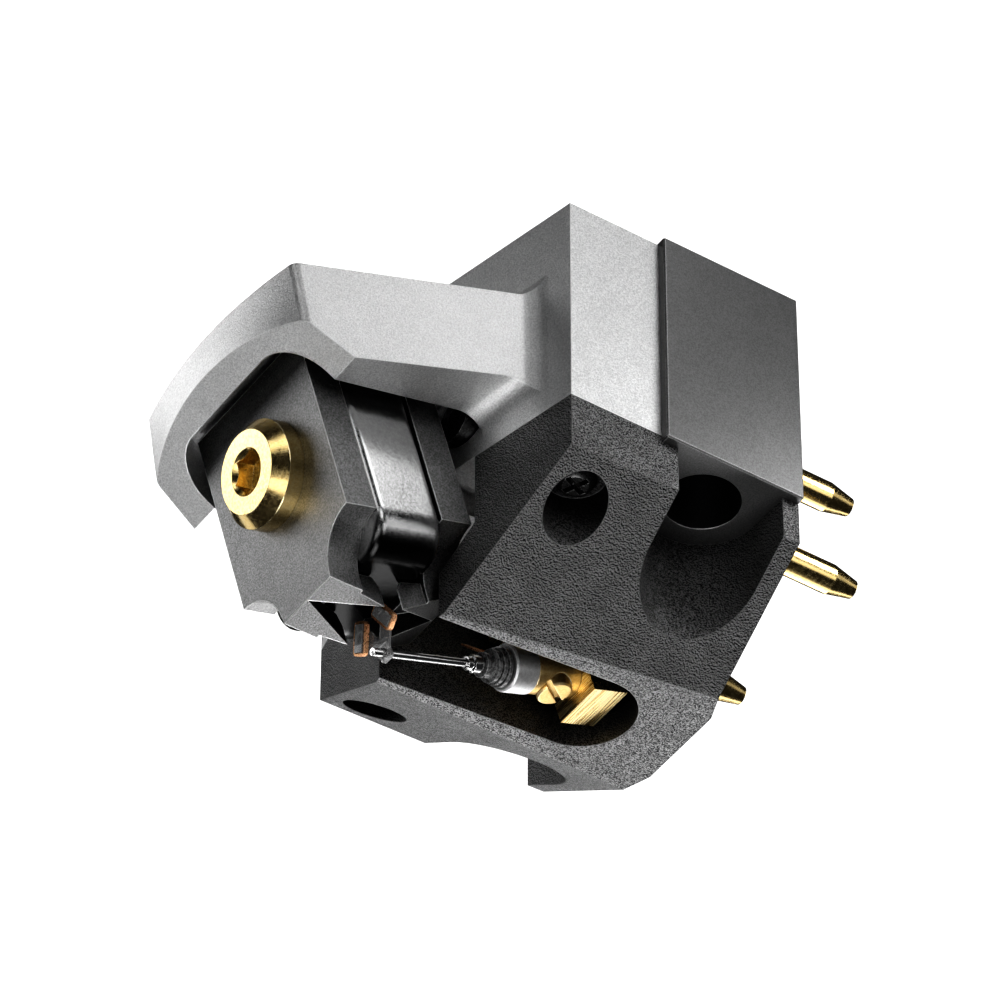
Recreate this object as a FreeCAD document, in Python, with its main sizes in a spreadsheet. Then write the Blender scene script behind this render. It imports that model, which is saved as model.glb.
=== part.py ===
import FreeCAD, Part
import math
import os
import re
import Sketcher

# Moving coil cartridge for a record player's tonearm. Millimetres. The origin lies midway between
# the two mounting holes on the top mounting face. +X is across, -Y is towards the stylus, +Z is up.

SIZES = {
    # Mounting base
    "base_half_width": 8.5,
    "base_half_depth": 2.95,
    "base_height": 9.91,
    "edge_break": 0.12,
    "mount_spacing": 12.7,
    "mount_hole_radius": 1.42,
    "pocket_half_width": 4.45,
    "pocket_top": 2.2,
    "pocket_floor": 0.91,
    "pocket_depth": 3.6,
    "wire_hole_radius": 0.6,
    "wire_hole_offset": 2.4,
    # Terminal board and pins
    "board_thickness": 2.1,
    "board_gap": 0.03,
    "pin_offset": 3.52,
    "pin_upper": 3.5,
    "pin_lower_rise": 2.31,
    "pin_radius": 0.58,
    "pin_reach": 5.75,
    "pin_taper": 1.05,
    "pin_tip_radius": 0.36,
    "pin_tail": 0.45,
    "pin_tail_radius": 0.42,
    # Front body: block behind, hollow nose in front
    "body_half_width": 8.12,
    "body_step": 0.13,
    "body_rise": 0.41,
    "front_sweep": 1.84,
    "nose_length": 7.72,
    "root_inset": 0.29,
    "nose_root_half": 6.58,
    "nose_half": 4.9,
    "nose_reach": 16.35,
    "nose_bulge": 1.08,
    "nose_top_bulge": 0.65,
    "nose_rise": 2.12,
    "nose_corner": 0.4,
    "nose_top_rise": 4.14,
    "roof_rise": 12.7,
    "lip_lean": 0.52,
    "lip_depth": 2.6,
    "kick_length": 1.87,
    "kick_depth": 1.09,
    "arm_rise": 13.8,
    "root_fillet": 0.9,
    "opening_half": 3.97,
    "nose_wall": 0.4,
    "opening_corner": 1.7,
    "ceiling_rise": 3.01,
    "roof_wall": 1.0,
    "attic_half": 3.7,
    "lug_half": 1.9,
    "lug_below": 0.79,
    "lug_rise": 3.61,
    "lug_depth": 2.43,
    # Screws that hold the front body to the base
    "body_screw_offset": 3.0,
    "body_screw_rise": 2.31,
    "body_screw_inset": 1.13,
    "body_screw_head_radius": 0.95,
    "body_screw_head": 0.85,
    "body_screw_radius": 0.5,
    "body_screw_end": 1.3,
    # Lower cover
    "band_below": 2.11,
    "cover_slope": 0.6925,
    "cover_side_rise": 1.6,
    "cover_nose_below": 6.32,
    "cover_tail_below": 5.4,
    "cover_bottom_back": 2.95,
    "cover_tail_bulge": 0.42,
    "cover_tail_half": 1.92,
    "cover_tail_chamfer": 1.06,
    "notch_radius": 2.25,
    "slot_half": 1.9,
    "slot_end": 0.75,
    "mouth_half": 3.58,
    "mouth_shoulder_below": 2.89,
    "mouth_waist_below": 4.29,
    "mouth_back": 1.4,
    "cover_screw_offset": 6.45,
    "cover_screw_inset": 1.29,
    "cover_screw_below": 1.69,
    "cover_screw_bore": 1.15,
    "cover_screw_head": 0.5,
    "cover_screw_head_radius": 0.78,
    "cover_screw_radius": 0.45,
    "cover_screw_rise": 2.31,
    "recess_half_length": 0.5,
    "recess_half_width": 0.11,
    "recess_depth": 0.28,
    # Magnet system, leaning back by the yoke tilt
    "yoke_tilt": 17.5,
    "yoke_inset": 2.35,
    "yoke_below": 1.12,
    "yoke_half": 3.33,
    "yoke_rise": 3.8,
    "yoke_shoulder": 3.45,
    "yoke_waist_radius": 1.85,
    "yoke_thickness": 1.3,
    "magnet_depth": 2.84,
    "magnet_foot": 4.75,
    "magnet_corner": 1.4,
    "magnet_edge": 0.32,
    "prong_rise": 0.48,
    "prong_reach": 2.34,
    "prong_drop": 0.72,
    "prong_tip_half": 1.19,
    "prong_heel_reach": 2.1,
    "prong_knee_reach": 2.47,
    "prong_knee": 0.12,
    "notch_start": 0.05,
    "yoke_screw_face": 1.53,
    "yoke_screw_head_radius": 1.98,
    "yoke_screw_rim": 0.62,
    "yoke_screw_head": 1.1,
    "yoke_screw_radius": 0.72,
    "yoke_screw_grip": 1.9,
    "yoke_screw_mouth_radius": 0.88,
    "yoke_screw_mouth_depth": 0.2,
    "yoke_screw_socket_half": 0.72,
    "yoke_screw_socket_depth": 0.8,
    "screw_gap": 0.04,
    # Stylus, cantilever and suspension, along the cantilever's line
    "cantilever_tilt": 19.7,
    "cantilever_inset": 4.46,
    "cantilever_below": 7.17,
    "rod_front": 0.16,
    "rod_radius": 0.15,
    "suspension_length": 4.35,
    "stylus_ahead": 0.17,
    "stylus_below": 0.22,
    "stylus_lean": 25,
    "stylus_half": 0.05,
    "stylus_cone": 0.12,
    "stylus_height": 0.36,
    "sleeve_overlap": 0.25,
    "sleeve_length": 0.61,
    "sleeve_radius": 0.33,
    "sleeve_neck_radius": 0.25,
    "sleeve_neck": 0.2,
    "sleeve_gap": 0.06,
    "damper_length": 1.0,
    "damper_gap": 0.04,
    "damper_nose_radius": 0.46,
    "damper_nose": 0.38,
    "damper_ring_radius": 0.62,
    "damper_ring_growth": 0.06,
    "damper_groove": 0.07,
    "collar_radius": 0.87,
    "collar_length": 1.01,
    "holder_radius": 0.82,
    "holder_grip": 1.4,
    "wire_bore": 0.13,
    "suspension_wire_radius": 0.04,
    "wire_grip": 0.27,
    "set_screw_inset": 0.9,
    "set_screw_radius": 0.66,
    "set_screw_slot": 0.11,
    "set_screw_slot_depth": 0.25,
    "set_screw_floor": 0.3,
    "set_screw_depth": 0.62,
    "set_screw_turn": 50,
    "fit_gap": 0.02,
    "overshoot": 0.5,
    "thread_spare": 0.3,
    "wire_hole_wall": 0.1,
    "head_clearance": 0.1,
    "edge_break": 0.06,
    "body_screw_socket": 0.45,
    "block_screw_socket": 0.32,
    # Block that carries the suspension
    "block_half": 1.08,
    "block_reach": 1.49,
    "block_length": 1.5,
    "block_below": 1.3,
    "flange_half": 3.2,
    "flange_front": 2.75,
    "flange_back": 0.72,
    "flange_thickness": 0.9,
    "block_screw_offset": 2.3,
    "block_screw_radius": 0.4,
    "block_screw_head_radius": 0.7,
    "block_screw_head": 0.45,
    "block_screw_rise": 1.51,
    # Coils and their former
    "coil_offset": 0.73,
    "coil_rise": 1.07,
    "coil_place": 0.12,
    "coil_thickness": 0.2,
    "coil_half_width": 0.33,
    "coil_half_length": 0.62,
    "coil_wall": 0.1,
    "coil_corner": 0.16,
    "coil_lean": 30,
    "former_web": 0.1,
    "former_block_half": 0.25,
    "former_block_length": 0.22,
    "former_end": 0.18,
    "former_top": 0.26,
    "former_foot": 0.1,
    "former_inset": 0.3,
    # Coil leads
    "lead_radius": 0.05,
    "lead_pitch": 0.22,
    "lead_start": 0.75,
    "lead_start_half": 0.5,
    "lead_slack": 0.2,
    "lead_sag_reach": 4.4,
    "lead_sag_below": 2.69,
    "lead_entry_below": 1.99,
    "lead_knee_lower": 0.6,
    "lead_knee_upper": 1.4,
}

# Places that follow from the sizes above
PLACES = {
    "front_centre": "nose_reach - nose_length",
    "front_corner": "front_centre - front_sweep",
    "nose_root": "front_corner - root_inset",
    "lug_back": "front_centre - lug_depth",
    "body_screw_seat": "front_centre - body_screw_inset",
    "cover_screw_reach": "front_corner - cover_screw_inset",
    "yoke_reach": "nose_reach - yoke_inset",
    "cantilever_reach": "yoke_reach - cantilever_inset",
    "block_start": "(cantilever_reach - block_reach) / cos(cantilever_tilt)",
    "rod_length": "block_start - suspension_length",
    "sleeve_start": "rod_length - sleeve_overlap",
    "sleeve_end": "sleeve_start + sleeve_length",
    "damper_start": "sleeve_end + sleeve_gap",
    "damper_end": "damper_start + damper_length",
    "collar_end": "damper_end + collar_length",
    "holder_end": "block_start + holder_grip",
    "suspension_wire_end": "collar_end + wire_grip",
    "set_screw_place": "block_start - set_screw_inset",
    "pocket_bottom": "base_height - pocket_floor",
    "pin_lower": "base_height - pin_lower_rise",
    "body_height": "base_height - body_rise",
    "nose_top_drop": "base_height - nose_top_rise",
    "lip_drop": "nose_top_drop + lip_depth",
    "heel_drop": "lip_drop + kick_depth",
    "lip_reach": "nose_reach - lip_lean",
    "heel_reach": "lip_reach - kick_length",
    "opening_reach": "nose_reach - nose_wall",
    "ceiling_drop": "base_height - ceiling_rise",
    "lug_bottom": "base_height + lug_below",
    "lug_top": "base_height - lug_rise",
    "body_screw_drop": "base_height - body_screw_rise",
    "cover_band": "base_height + band_below",
    "cover_nose_drop": "base_height + cover_nose_below",
    "cover_tail_drop": "base_height + cover_tail_below",
    "mouth_shoulder": "base_height + mouth_shoulder_below",
    "mouth_waist": "base_height + mouth_waist_below",
    "cover_screw_seat": "base_height + cover_screw_below",
    "cover_screw_end": "base_height - cover_screw_rise",
    "yoke_drop": "base_height + yoke_below",
    "cantilever_drop": "base_height + cantilever_below",
    "stylus_drop": "cantilever_drop + stylus_below",
    "stylus_reach": "cantilever_reach + stylus_ahead",
    "block_screw_end": "base_height - block_screw_rise",
    "lead_sag_drop": "base_height + lead_sag_below",
    "lead_entry_drop": "base_height + lead_entry_below",
}

SIDES = {"right": 1, "left": -1}


def bound(text):
    """Puts the sheet's name before each size in an expression."""
    known = SIZES.keys() | PLACES.keys()
    return re.sub(r"[a-z_]+", lambda m: "Sizes." + m.group() if m.group() in known else m.group(), text)


def make_sheet(doc):
    sheet = doc.addObject("Spreadsheet::Sheet", "Sizes")
    formulas = {name: "=" + text for name, text in PLACES.items()}
    for row, (name, value) in enumerate((SIZES | formulas).items(), start=1):
        sheet.set("A%d" % row, name)
        sheet.setAlias("B%d" % row, name)
        sheet.set("B%d" % row, str(value))
    doc.recompute()
    return sheet


def size(text):
    """Present value of an expression in the sheet's sizes."""
    return float(FreeCAD.ActiveDocument.Sizes.evalExpression(bound(text)))


# Frames. The magnet system and the cantilever each have a leaning frame of their own: its x is
# across, its y runs down along the yoke plates and its z runs back along the axis.

def yoke_y(depth, down):
    return "(-yoke_reach + (%s) * cos(yoke_tilt) + (%s) * sin(yoke_tilt))" % (depth, down)


def yoke_z(depth, down):
    return "(-yoke_drop + (%s) * sin(yoke_tilt) - (%s) * cos(yoke_tilt))" % (depth, down)


def arm_y(along, down):
    lean = "(-cantilever_reach + (%s) * cos(cantilever_tilt) + (%s) * sin(cantilever_tilt))"
    return lean % (along, down)


def arm_z(along, down):
    lean = "(-cantilever_drop + (%s) * sin(cantilever_tilt) - (%s) * cos(cantilever_tilt))"
    return lean % (along, down)


def place(item, x="0", y="0", z="0", axis="1; 0; 0", angle="0"):
    text = "placement(vector(%s; %s; %s); rotation(vector(%s); %s))" % (x, y, z, axis, angle)
    item.setExpression("Placement", bound(text))


def in_arm_frame(item):
    place(item, y=arm_y("0", "0"), z=arm_z("0", "0"), angle="cantilever_tilt - 90")


# Building blocks

def new_body(doc, name):
    body = doc.addObject("PartDesign::Body", name)
    body.Label = name
    return body


def new_sketch(body, plane, name, shift="0", turn="0"):
    """Sketch on an origin plane of the body, moved along the plane's normal."""
    sketch = body.newObject("Sketcher::SketchObject", name)
    support = next(f for f in body.Origin.OriginFeatures if f.Role == plane)
    sketch.AttachmentSupport = [(support, "")]
    sketch.MapMode = "FlatFace"
    text = "placement(vector(0; 0; %s); rotation(vector(1; 0; 0); %s))" % (shift, turn)
    sketch.setExpression("AttachmentOffset", bound(text))
    return sketch


def fix_point(sketch, element, end, x, y):
    """Ties a point of the sketch to two expressions."""
    for kind, axis, text in (("DistanceX", -2, x), ("DistanceY", -1, y)):
        if text == "0":
            sketch.addConstraint(Sketcher.Constraint("PointOnObject", element, end, axis))
        else:
            value = size(text)
            index = sketch.addConstraint(Sketcher.Constraint(kind, -1, 1, element, end, value))
            sketch.setExpression("Constraints[%d]" % index, bound(text))


def add_outline(sketch, points, arcs=None):
    """Closed outline through the points. arcs gives a radius for the sides that are round:
    positive bulges to the right of the way the outline runs."""
    arcs = arcs or {}
    first = sketch.GeometryCount
    spots = [FreeCAD.Vector(size(x), size(y), 0) for x, y in points]
    count = len(points)
    ends = {}
    for i, here in enumerate(spots):
        there = spots[(i + 1) % count]
        if i not in arcs:
            sketch.addGeometry(Part.LineSegment(here, there))
            ends[i] = (1, 2)
            continue
        text, side = arcs[i]
        radius = size(text)
        half = (there - here) / 2
        normal = FreeCAD.Vector(-half.y, half.x, 0).normalize() * side
        centre = here + half + normal * math.sqrt(max(radius ** 2 - half.Length ** 2, 0.0))
        a, b = [math.atan2(p.y - centre.y, p.x - centre.x) for p in (here, there)]
        circle = Part.Circle(centre, FreeCAD.Vector(0, 0, 1), radius)
        if side > 0:
            sketch.addGeometry(Part.ArcOfCircle(circle, a, b if b > a else b + 2 * math.pi))
            ends[i] = (1, 2)
        else:
            sketch.addGeometry(Part.ArcOfCircle(circle, b, a if a > b else a + 2 * math.pi))
            ends[i] = (2, 1)
    for i in range(count):
        before = (i - 1) % count
        joint = (first + before, ends[before][1], first + i, ends[i][0])
        sketch.addConstraint(Sketcher.Constraint("Coincident", *joint))
    for i, (x, y) in enumerate(points):
        fix_point(sketch, first + i, ends[i][0], x, y)
    for i, (text, side) in arcs.items():
        index = sketch.addConstraint(Sketcher.Constraint("Radius", first + i, size(text)))
        sketch.setExpression("Constraints[%d]" % index, bound(text))


def grow(body, name, sketch, length, back=False, both=False):
    """Pad along the sketch's normal, against it, or half each way."""
    pad = body.newObject("PartDesign::Pad", name)
    pad.Profile = sketch
    pad.setExpression("Length", bound(length))
    pad.Reversed = back
    if both:
        pad.SideType = "Symmetric"
    return pad


def cut(body, name, sketch, length, back=False, both=False):
    """Pocket against the sketch's normal, along it, or half each way. It has to remove material."""
    body.Document.recompute()
    before = body.Shape.Volume
    pocket = body.newObject("PartDesign::Pocket", name)
    pocket.Profile = sketch
    pocket.setExpression("Length", bound(length))
    pocket.Reversed = back
    if both:
        pocket.SideType = "Symmetric"
    body.Document.recompute()
    if not body.Shape.Volume < before:
        raise RuntimeError("%s removes nothing" % name)
    return pocket


def spin(body, name, sketch):
    """Solid of revolution about the sketch's upright axis."""
    turned = body.newObject("PartDesign::Revolution", name)
    turned.Profile = sketch
    turned.ReferenceAxis = (sketch, ["V_Axis"])
    return turned


def drill(body, name, radius, length, x="0", y="0", z="0", axis="1; 0; 0", angle="0"):
    """Round hole from the given point, upwards unless turned."""
    hole = body.newObject("PartDesign::SubtractiveCylinder", name)
    hole.setExpression("Radius", bound(radius))
    hole.setExpression("Height", bound(length))
    place(hole, x, y, z, axis, angle)
    return hole


def edges_where(shape, test):
    """Names of the edges whose middle and direction pass the test."""
    names = []
    for index, edge in enumerate(shape.Edges, start=1):
        middle = edge.valueAt((edge.FirstParameter + edge.LastParameter) / 2)
        if test(middle, edge):
            names.append("Edge%d" % index)
    return names


def mirrored_points(points):
    """Adds the points' mirror images in the upright axis, in reverse order."""
    return points + [("-(%s)" % x, y) for x, y in reversed(points)]


def lathe(doc, name, profile, plane="XZ_Plane"):
    """Turned piece from (radius, height) pairs."""
    body = new_body(doc, name)
    sketch = new_sketch(body, plane, name + "_profile")
    add_outline(sketch, profile)
    spin(body, name + "_turned", sketch)
    return body


# Mounting base and terminals

def mounting_base(doc):
    body = new_body(doc, "mounting_base")
    plan = new_sketch(body, "XY_Plane", "base_plan")
    add_outline(plan, mirrored_points([
        ("base_half_width", "-base_half_depth"),
        ("base_half_width", "base_half_depth"),
    ]))
    block = grow(body, "base_block", plan, "base_height", back=True)
    doc.recompute()
    edges = body.newObject("PartDesign::Chamfer", "base_edges")
    edges.Base = (block, ["Edge%d" % (i + 1) for i in range(len(block.Shape.Edges))])
    edges.setExpression("Size", bound("edge_break"))
    doc.recompute()
    pocket = new_sketch(body, "XZ_Plane", "pocket_face", shift="-base_half_depth")
    add_outline(pocket, mirrored_points([
        ("pocket_half_width", "-pocket_bottom"),
        ("pocket_half_width", "-pocket_top"),
    ]))
    cut(body, "terminal_pocket", pocket, "pocket_depth", back=True)
    for side, sign in SIDES.items():
        drill(body, "mounting_hole_" + side, "mount_hole_radius", "base_height + 2",
              x="%d * mount_spacing / 2" % sign, z="-base_height - 1")
        drill(body, "wire_hole_" + side, "wire_hole_radius", "base_height - pocket_bottom + 1.5",
              x="%d * wire_hole_offset" % sign,
              y="base_half_depth - pocket_depth + wire_hole_radius + wire_hole_wall",
              z="-base_height - overshoot")
        drill(body, "body_screw_thread_" + side, "body_screw_radius + fit_gap",
              "base_half_depth - body_screw_end + thread_spare + 1",
              x="%d * body_screw_offset" % sign, y="-base_half_depth - 1", z="-body_screw_drop", angle="-90")
        drill(body, "block_screw_thread_" + side, "block_screw_radius + fit_gap",
              "base_height - block_screw_end + thread_spare + overshoot",
              x="%d * block_screw_offset" % sign, y="-(flange_front + flange_back) / 2",
              z="-base_height - overshoot")
    return body


def terminal_board(doc):
    body = new_body(doc, "terminal_board")
    face = new_sketch(body, "XZ_Plane", "board_face", shift="-base_half_depth")
    add_outline(face, mirrored_points([
        ("pocket_half_width - board_gap", "-pocket_bottom + board_gap"),
        ("pocket_half_width - board_gap", "-pocket_top - board_gap"),
    ]))
    grow(body, "board_block", face, "board_thickness")
    for side, sign in SIDES.items():
        for level in ("upper", "lower"):
            drill(body, "pin_hole_%s_%s" % (side, level), "pin_tail_radius", "board_thickness + 2",
                  x="%d * pin_offset" % sign, y="base_half_depth - board_thickness - 1",
                  z="-pin_" + level, angle="-90")
    return body


def terminal_pin(doc, side, level):
    """Pin with a shoulder on the board's face and a thinner tail through it."""
    name = "terminal_pin_%s_%s" % (level, side)
    pin = lathe(doc, name, [
        ("0", "-pin_tail"),
        ("pin_tail_radius", "-pin_tail"),
        ("pin_tail_radius", "board_thickness"),
        ("pin_radius", "board_thickness"),
        ("pin_radius", "board_thickness + pin_reach - pin_taper"),
        ("pin_tip_radius", "board_thickness + pin_reach"),
        ("0", "board_thickness + pin_reach"),
    ])
    place(pin, "%d * pin_offset" % SIDES[side], "base_half_depth - board_thickness",
          "-pin_" + level, angle="-90")
    return pin


# Front body

def front_line(x):
    """Y of the swept front face at a distance x from the middle."""
    return "(-front_corner - (front_centre - front_corner) * (1 - (%s) / body_half_width))" % x


def nose_section(body, name, reach, height, bulge):
    """Outline of the nose in plan at one level: two arms that close in to a bowed front."""
    sketch = new_sketch(body, "XY_Plane", name, shift=height)
    half = ("(nose_root_half - (nose_root_half - nose_half) * (%s - nose_root) "
            "/ (nose_reach - nose_root))" % reach)
    radius = "(%s ^ 2 + %s ^ 2) / (2 * %s)" % (half, bulge, bulge)
    add_outline(sketch, [
        ("nose_root_half", "-nose_root"),
        ("-nose_root_half", "-nose_root"),
        ("-" + half, "-" + reach),
        (half, "-" + reach),
    ], {2: (radius, 1)})
    return sketch


def roof_z(y, wall="0"):
    """Height of the sloping roof, or of a line the wall's thickness below it."""
    return "(-nose_top_drop + (nose_reach + (%s)) * tan(roof_rise) - (%s))" % (y, wall)


def yoke_back_y(z):
    """Y of the magnet system's back face at a height z."""
    return ("((-yoke_reach * cos(yoke_tilt) - (yoke_drop + (%s)) * sin(yoke_tilt) "
            "+ 2 * yoke_thickness + magnet_depth) / cos(yoke_tilt))" % z)


def front_nose(body):
    """Nose: two plan sections, then the sloping roof, the kick and the rising underside are cut."""
    lean = "(nose_reach - lip_reach) / (lip_drop - nose_top_drop)"
    flare = "(nose_bulge - nose_top_bulge) / (lip_drop - nose_top_drop)"
    sections = []
    for name, below in (("nose_top", "(-nose_rise)"), ("nose_bottom", "(lip_drop - nose_top_drop + 2)")):
        sections.append(nose_section(
            body, name, "(nose_reach - %s * %s)" % (lean, below), "-nose_top_drop - %s" % below,
            "(nose_top_bulge + %s * %s)" % (flare, below)))
    nose = body.newObject("PartDesign::AdditiveLoft", "nose")
    nose.Profile = sections[0]
    nose.Sections = [sections[1]]
    nose.Ruled = True
    roof = new_sketch(body, "YZ_Plane", "roof_line")
    add_outline(roof, [
        ("-nose_reach - 4", roof_z("-nose_reach - 4")),
        ("-nose_root + 1", roof_z("-nose_root + 1")),
        ("-nose_root + 1", "0"),
        ("-nose_reach - 4", "0"),
    ])
    cut(body, "roof", roof, "4 * body_half_width", both=True)
    kick = "(heel_drop - lip_drop) / (lip_reach - heel_reach)"
    under = new_sketch(body, "YZ_Plane", "underside_line")
    add_outline(under, [
        ("-nose_reach - 4", "-lip_drop + (nose_reach + 4 - lip_reach) * %s" % kick),
        ("-nose_reach - 4", "-heel_drop - 6"),
        ("-nose_root + 1", "-heel_drop - 6"),
        ("-nose_root + 1", "-heel_drop + (heel_reach - nose_root + 1) * tan(arm_rise)"),
        ("-heel_reach", "-heel_drop"),
    ])
    cut(body, "kick_and_underside", under, "4 * body_half_width", both=True)
    upright = edges_where(body.Shape, lambda p, e: (
        abs(p.x) > size("nose_half - 0.5") and p.y < size("0.6 - nose_reach")
        and e.BoundBox.ZLength > size("0.5 * lip_depth")))
    corners = body.newObject("PartDesign::Fillet", "nose_corners")
    corners.Base = (body.getObject("kick_and_underside"), upright)
    corners.setExpression("Radius", bound("nose_corner"))
    body.Document.recompute()


def nose_hollow(body):
    """Hollow that opens downwards round the magnet system, higher under the roof."""
    opening = new_sketch(body, "XY_Plane", "opening_plan", shift="-heel_drop - 2")
    side = "opening_reach - opening_corner"
    add_outline(opening, [
        ("opening_half", front_line("opening_half")),
        ("0", front_line("0")),
        ("-opening_half", front_line("opening_half")),
        ("-opening_half", "-(%s)" % side),
        ("-opening_half + opening_corner", "-opening_reach"),
        ("opening_half - opening_corner", "-opening_reach"),
        ("opening_half", "-(%s)" % side),
    ], {3: ("opening_corner", 1), 5: ("opening_corner", 1)})
    cut(body, "opening", opening, "heel_drop + 2 - ceiling_drop", back=True)
    attic = new_sketch(body, "YZ_Plane", "attic_line")
    front = "-nose_reach + 1.45"
    rear = "-front_centre - 0.67"
    add_outline(attic, [
        (front, "-ceiling_drop - overshoot"),
        (rear, "-ceiling_drop - overshoot"),
        (rear, roof_z(rear, "roof_wall")),
        (front, roof_z(front, "roof_wall")),
    ])
    cut(body, "attic", attic, "2 * attic_half", both=True)


def front_body(doc):
    body = new_body(doc, "front_body")
    front_nose(body)
    plan = new_sketch(body, "XY_Plane", "block_plan", shift="-body_step")
    add_outline(plan, [
        ("body_half_width", "-base_half_depth"),
        ("-body_half_width", "-base_half_depth"),
        ("-body_half_width", "-front_corner"),
        ("0", "-front_centre"),
        ("body_half_width", "-front_corner"),
    ])
    grow(body, "block", plan, "body_height", back=True)
    doc.recompute()
    corner, centre, half = size("front_corner"), size("front_centre"), size("body_half_width")
    bottom = -size("body_step + body_height")

    def at_root(middle, edge):
        swept = -corner - (centre - corner) * (1 - abs(middle.x) / half)
        on_face = abs(middle.y - swept) < 0.01
        return on_face and abs(middle.x) > 0.01 and bottom + 0.1 < middle.z < -1

    names = [n for n in edges_where(body.Shape, at_root)
             if abs(body.Shape.getElement(n).BoundBox.XMax) < half - 0.1
             and abs(body.Shape.getElement(n).BoundBox.XMin) < half - 0.1]
    roots = body.newObject("PartDesign::Fillet", "arm_roots")
    roots.Base = (body.getObject("block"), names)
    roots.setExpression("Radius", bound("root_fillet"))
    doc.recompute()
    nose_hollow(body)
    lug = new_sketch(body, "YZ_Plane", "lug_side")
    add_outline(lug, [
        (yoke_back_y("-lug_bottom"), "-lug_bottom"),
        ("-lug_back", "-lug_bottom"),
        ("-lug_back", "-body_height"),
        ("-front_centre", "-lug_top + 0.5"),
        ("-front_centre - 0.8", "-lug_top + 0.4"),
        (yoke_back_y("-lug_top"), "-lug_top"),
    ])
    grow(body, "lug", lug, "2 * lug_half", both=True)
    depth = "2 * yoke_thickness + magnet_depth"
    drill(body, "yoke_screw_thread", "yoke_screw_radius + screw_gap",
          "yoke_screw_grip + 2 * overshoot", angle="yoke_tilt - 90",
          y=yoke_y(depth + " - overshoot", "0"), z=yoke_z(depth + " - overshoot", "0"))
    for side, sign in SIDES.items():
        across = "%d * body_screw_offset" % sign
        drill(body, "body_screw_bore_" + side, "body_screw_head_radius + head_clearance",
              "front_centre - body_screw_seat",
              x=across, y="-front_centre", z="-body_screw_drop", angle="-90")
        drill(body, "body_screw_hole_" + side, "body_screw_radius + screw_gap", "body_screw_seat",
              x=across, y="-body_screw_seat - overshoot", z="-body_screw_drop", angle="-90")
        drill(body, "cover_screw_thread_" + side, "cover_screw_radius + fit_gap",
              "body_height + body_step - cover_screw_end + thread_spare + overshoot",
              x="%d * cover_screw_offset" % sign, y="-cover_screw_reach",
              z="-body_height - body_step - overshoot")
    return body


def socket_screw(doc, name, head_radius, head, radius, length, socket):
    """Cap screw along its own z: head below the seat at z = 0, shank above it."""
    body = lathe(doc, name, [
        ("0", "-(%s)" % head),
        (head_radius, "-(%s)" % head),
        (head_radius, "0"),
        (radius, "0"),
        (radius, length),
        ("0", length),
    ])
    hex_socket(body, name + "_socket", socket, "0.55 * (%s)" % head, "-(%s)" % head)
    return body


def hex_socket(body, name, half_across, depth, floor):
    """Hexagon socket, cut upwards from the level floor."""
    socket = body.newObject("PartDesign::SubtractivePrism", name)
    socket.Polygon = 6
    socket.setExpression("Circumradius", bound("(%s) / cos(30)" % half_across))
    socket.setExpression("Height", bound(depth))
    place(socket, z=floor)
    return socket


def body_screw(doc, side):
    screw = socket_screw(doc, "body_screw_" + side, "body_screw_head_radius", "body_screw_head",
                         "body_screw_radius", "body_screw_seat - body_screw_end", "body_screw_socket")
    place(screw, "%d * body_screw_offset" % SIDES[side], "-body_screw_seat", "-body_screw_drop", angle="-90")
    return screw


# Lower cover

def cover_bottom_z(y):
    rise = "(cover_nose_drop - cover_tail_drop) / (front_centre + cover_bottom_back)"
    return "(-cover_nose_drop + (%s + front_centre) * %s)" % (y, rise)


def cover_form(body):
    """Keel shaped bar, trimmed to the swept plan, the stepped top and the rising bottom."""
    start = "(front_centre + 0.9)"
    face = new_sketch(body, "XZ_Plane", "keel_section", shift=start, turn="cover_side_rise")
    band = "(cover_band + (%s - front_corner) * tan(cover_side_rise))" % start
    foot = "(cover_nose_drop + 1)"
    add_outline(face, mirrored_points([
        ("body_half_width - (%s - %s) / cover_slope" % (foot, band), "-" + foot),
        ("body_half_width", "-" + band),
        ("body_half_width", "-body_height + 1"),
    ]))
    grow(body, "keel", face, "front_centre + base_half_depth + 3", back=True)
    plan = new_sketch(body, "XY_Plane", "cover_plan", shift="-body_height + 2")
    far = "body_half_width + 4"
    add_outline(plan, [
        (far, "-front_centre - 4"),
        (far, "base_half_depth + 6"),
        ("-(%s)" % far, "base_half_depth + 6"),
        ("-(%s)" % far, "-front_centre - 4"),
    ])
    add_outline(plan, [
        ("0", "-front_centre"),
        ("body_half_width", "-front_corner"),
        ("body_half_width", "base_half_depth"),
        ("cover_tail_half + cover_tail_chamfer", "base_half_depth"),
        ("cover_tail_half", "base_half_depth + cover_tail_bulge"),
        ("-cover_tail_half", "base_half_depth + cover_tail_bulge"),
        ("-cover_tail_half - cover_tail_chamfer", "base_half_depth"),
        ("-body_half_width", "base_half_depth"),
        ("-body_half_width", "-front_corner"),
    ])
    cut(body, "plan_trim", plan, "cover_nose_drop")
    top = new_sketch(body, "YZ_Plane", "top_step")
    add_outline(top, [
        ("-front_centre - 4", "-body_height - body_step"),
        ("-base_half_depth", "-body_height - body_step"),
        ("-base_half_depth", "-base_height"),
        ("base_half_depth + 4", "-base_height"),
        ("base_half_depth + 4", "0"),
        ("-front_centre - 4", "0"),
    ])
    cut(body, "top_trim", top, "4 * body_half_width", both=True)
    low = new_sketch(body, "YZ_Plane", "bottom_line")
    add_outline(low, [
        ("-front_centre - 4", cover_bottom_z("-front_centre - 4")),
        ("-front_centre - 4", "-cover_nose_drop - 6"),
        ("base_half_depth + 4", "-cover_nose_drop - 6"),
        ("base_half_depth + 4", cover_bottom_z("base_half_depth + 4")),
    ])
    cut(body, "bottom_trim", low, "4 * body_half_width", both=True)


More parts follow.
